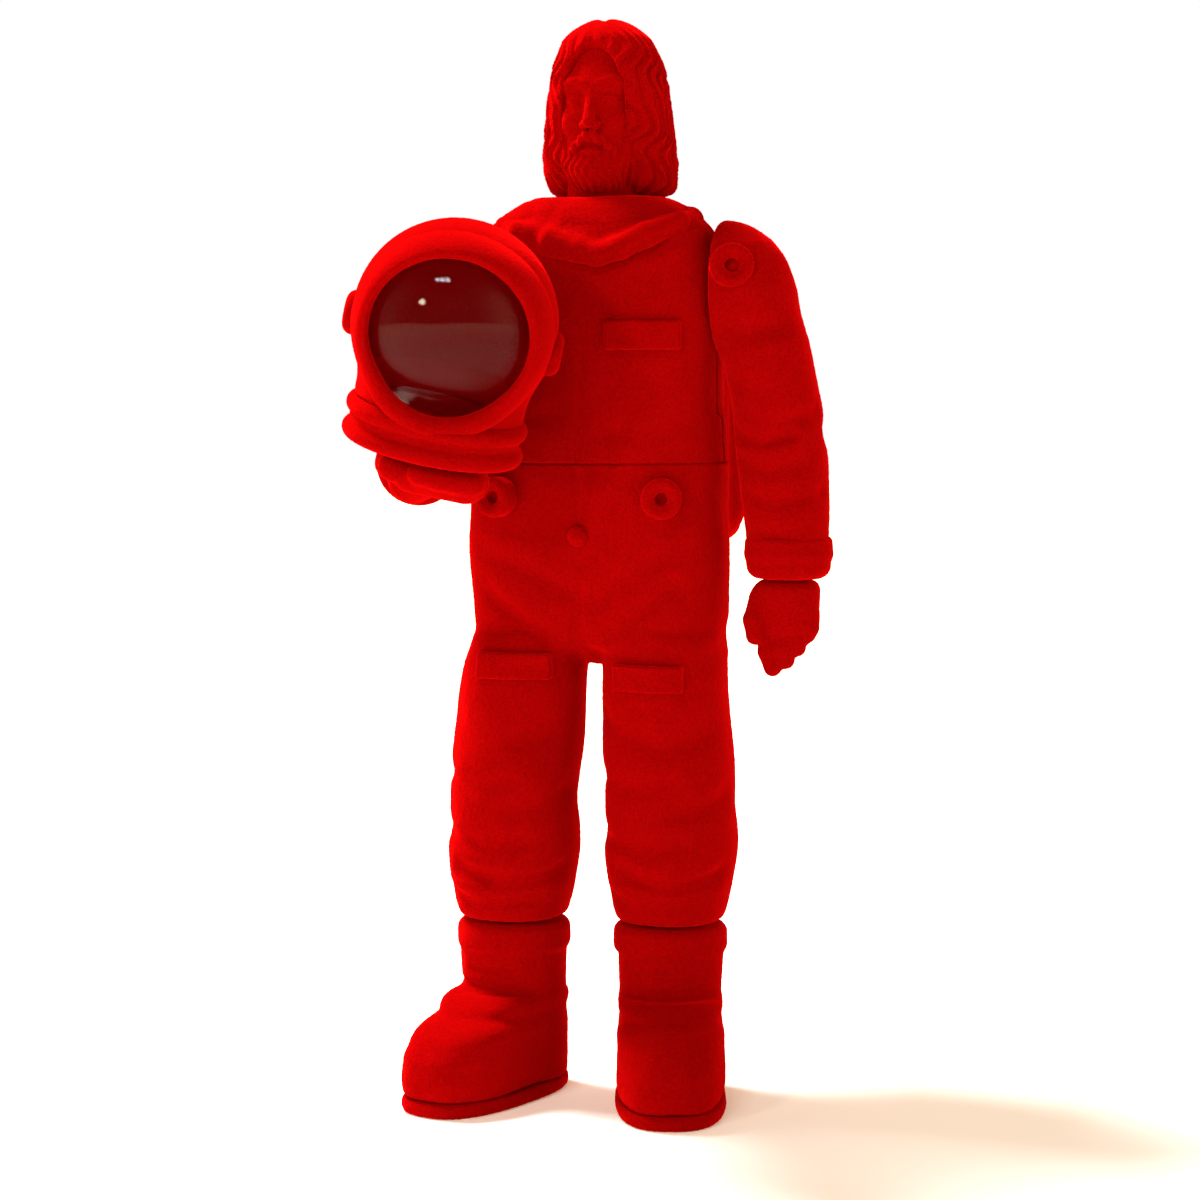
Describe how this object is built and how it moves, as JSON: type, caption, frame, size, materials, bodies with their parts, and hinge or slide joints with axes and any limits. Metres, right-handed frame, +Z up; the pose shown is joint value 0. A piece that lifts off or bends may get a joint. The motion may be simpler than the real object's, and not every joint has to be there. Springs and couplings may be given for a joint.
{
  "type": "action figure",
  "caption": "Standing astronaut figure in a flocked suit with long hair and beard, backpack and turning joints, holding its helmet with a clear visor.",
  "frame": {"origin": "on the floor, under the middle of the figure's bounding box", "axes": "+Z up, the figure faces -Y, its left side is +X; the vertical axis of the body stands 9 mm behind the origin"},
  "size_m": [0.0872, 0.0846, 0.2],
  "materials": {
    "flocked_plastic": "flocked, velvety, no gloss",
    "clear_plastic": "clear, glossy",
    "pin_plastic": "bare moulded"
  },
  "bodies": {
    "body": {"torso_front": "flocked_plastic", "torso_back": "flocked_plastic", "waist_ring": "pin_plastic", "collar_ring": "flocked_plastic", "chest_flap": "flocked_plastic", "backpack_shell": "flocked_plastic", "backpack_plate": "flocked_plastic", "trousers_shell": "flocked_plastic", "thigh_flap_left": "flocked_plastic", "thigh_flap_right": "flocked_plastic", "waist_port_left": "flocked_plastic", "waist_port_right": "flocked_plastic", "front_stud": "flocked_plastic", "boot_pin_left": "pin_plastic", "boot_pin_right": "pin_plastic"},
    "head": {"head_shell": "flocked_plastic", "hair_shell": "flocked_plastic", "neck_pin": "pin_plastic"},
    "arm_left": {"arm_left_shell": "flocked_plastic", "cuff_left": "flocked_plastic", "shoulder_port_left": "flocked_plastic", "shoulder_pin_left": "pin_plastic"},
    "hand_left": {"glove_left": "flocked_plastic", "wrist_pin_left": "pin_plastic"},
    "arm_right": {"arm_right_shell": "flocked_plastic", "cuff_right": "flocked_plastic", "shoulder_port_right": "flocked_plastic", "shoulder_pin_right": "pin_plastic"},
    "hand_right": {"glove_right": "flocked_plastic", "wrist_pin_right": "pin_plastic"},
    "helmet": {"helmet_shell": "flocked_plastic", "visor": "clear_plastic", "visor_rim": "flocked_plastic", "helmet_neck_ring": "flocked_plastic", "ear_cap_left": "flocked_plastic", "ear_cap_right": "flocked_plastic"},
    "boot_left": {"boot_left_shell": "flocked_plastic", "boot_left_sole": "flocked_plastic"},
    "boot_right": {"boot_right_shell": "flocked_plastic", "boot_right_sole": "flocked_plastic"}
  },
  "joints": [
    {"name": "head_turn", "type": "hinge", "parent": "body", "child": "head", "pos_m": [0, 0.011, 0.1639], "axis": [0, 0, 1], "range_deg": [-70, 70]},
    {"name": "shoulder_left_swing", "type": "hinge", "parent": "body", "child": "arm_left", "pos_m": [0.0227, 0.009, 0.153], "axis": [-1, 0, 0], "continuous": true},
    {"name": "wrist_left_turn", "type": "hinge", "parent": "arm_left", "child": "hand_left", "pos_m": [0.0364, 0.0076, 0.0972], "axis": [0, 0, -1], "continuous": true},
    {"name": "shoulder_right_swing", "type": "hinge", "parent": "body", "child": "arm_right", "pos_m": [-0.0227, 0.009, 0.153], "axis": [-1, 0, 0], "range_deg": [0, 45]},
    {"name": "wrist_right_turn", "type": "hinge", "parent": "arm_right", "child": "hand_right", "pos_m": [-0.0306, -0.0066, 0.1168], "axis": [0.2107, -0.9332, -0.291], "range_deg": [0, 40]},
    {"name": "helmet_lift", "type": "slide", "parent": "hand_right", "child": "helmet", "axis": [-0.2499, -0.1499, 0.9566], "range_m": [0, 0.07]},
    {"name": "boot_left_turn", "type": "hinge", "parent": "body", "child": "boot_left", "pos_m": [0.0142, 0.0075, 0.0329], "axis": [0, 0, 1], "range_deg": [-20, 25]},
    {"name": "boot_right_turn", "type": "hinge", "parent": "body", "child": "boot_right", "pos_m": [-0.0152, 0.0035, 0.0329], "axis": [0, 0, 1], "range_deg": [-25, 20]}
  ]
}
